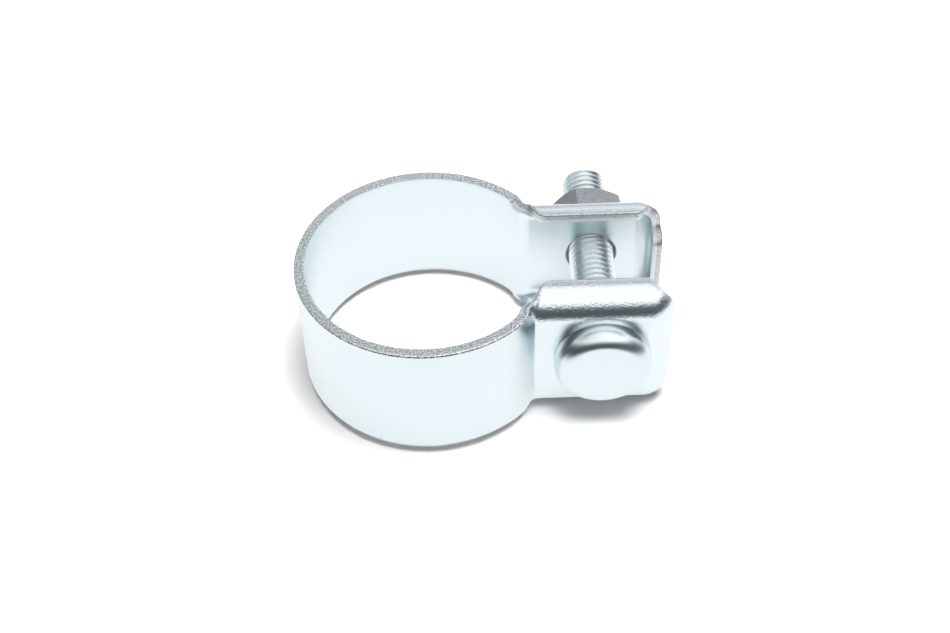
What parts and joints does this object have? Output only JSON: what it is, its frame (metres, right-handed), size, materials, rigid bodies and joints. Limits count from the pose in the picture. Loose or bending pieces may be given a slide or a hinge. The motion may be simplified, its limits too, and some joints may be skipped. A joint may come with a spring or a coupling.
{
  "type": "exhaust clamp",
  "caption": "Pressed-steel exhaust clamp: a one-piece band with two tray-shaped ears, drawn together by a cross bolt and hexagon nut.",
  "frame": {"origin": "on the pipe's axis, at the middle of the band's width", "axes": "+Z along the pipe, +X from the pipe's axis to the ears, +Y along the bolt from its head to its nut"},
  "size_m": [0.0785, 0.0659, 0.0324],
  "materials": {
    "zinc_band": "bright zinc plate, satin",
    "zinc_bolt": "bright zinc plate, satin",
    "zinc_nut": "zinc plate, duller"
  },
  "bodies": {
    "band": {"band": "zinc_band"},
    "bolt": {"bolt": "zinc_bolt"},
    "nut": {"nut": "zinc_nut"}
  },
  "joints": [
    {"name": "nut_spin", "type": "hinge", "parent": "band", "child": "nut", "pos_m": [0.036, 0.0205, 0], "axis": [0, 1, 0], "range_deg": [0, 5280]},
    {"name": "bolt_slide", "type": "slide", "parent": "band", "child": "bolt", "axis": [0, -1, 0], "range_m": [0, 0.022]}
  ],
  "couplings": [
    {"joint": "nut_spin", "follows": "bolt_slide", "rad_per_m": 4188.8}
  ]
}
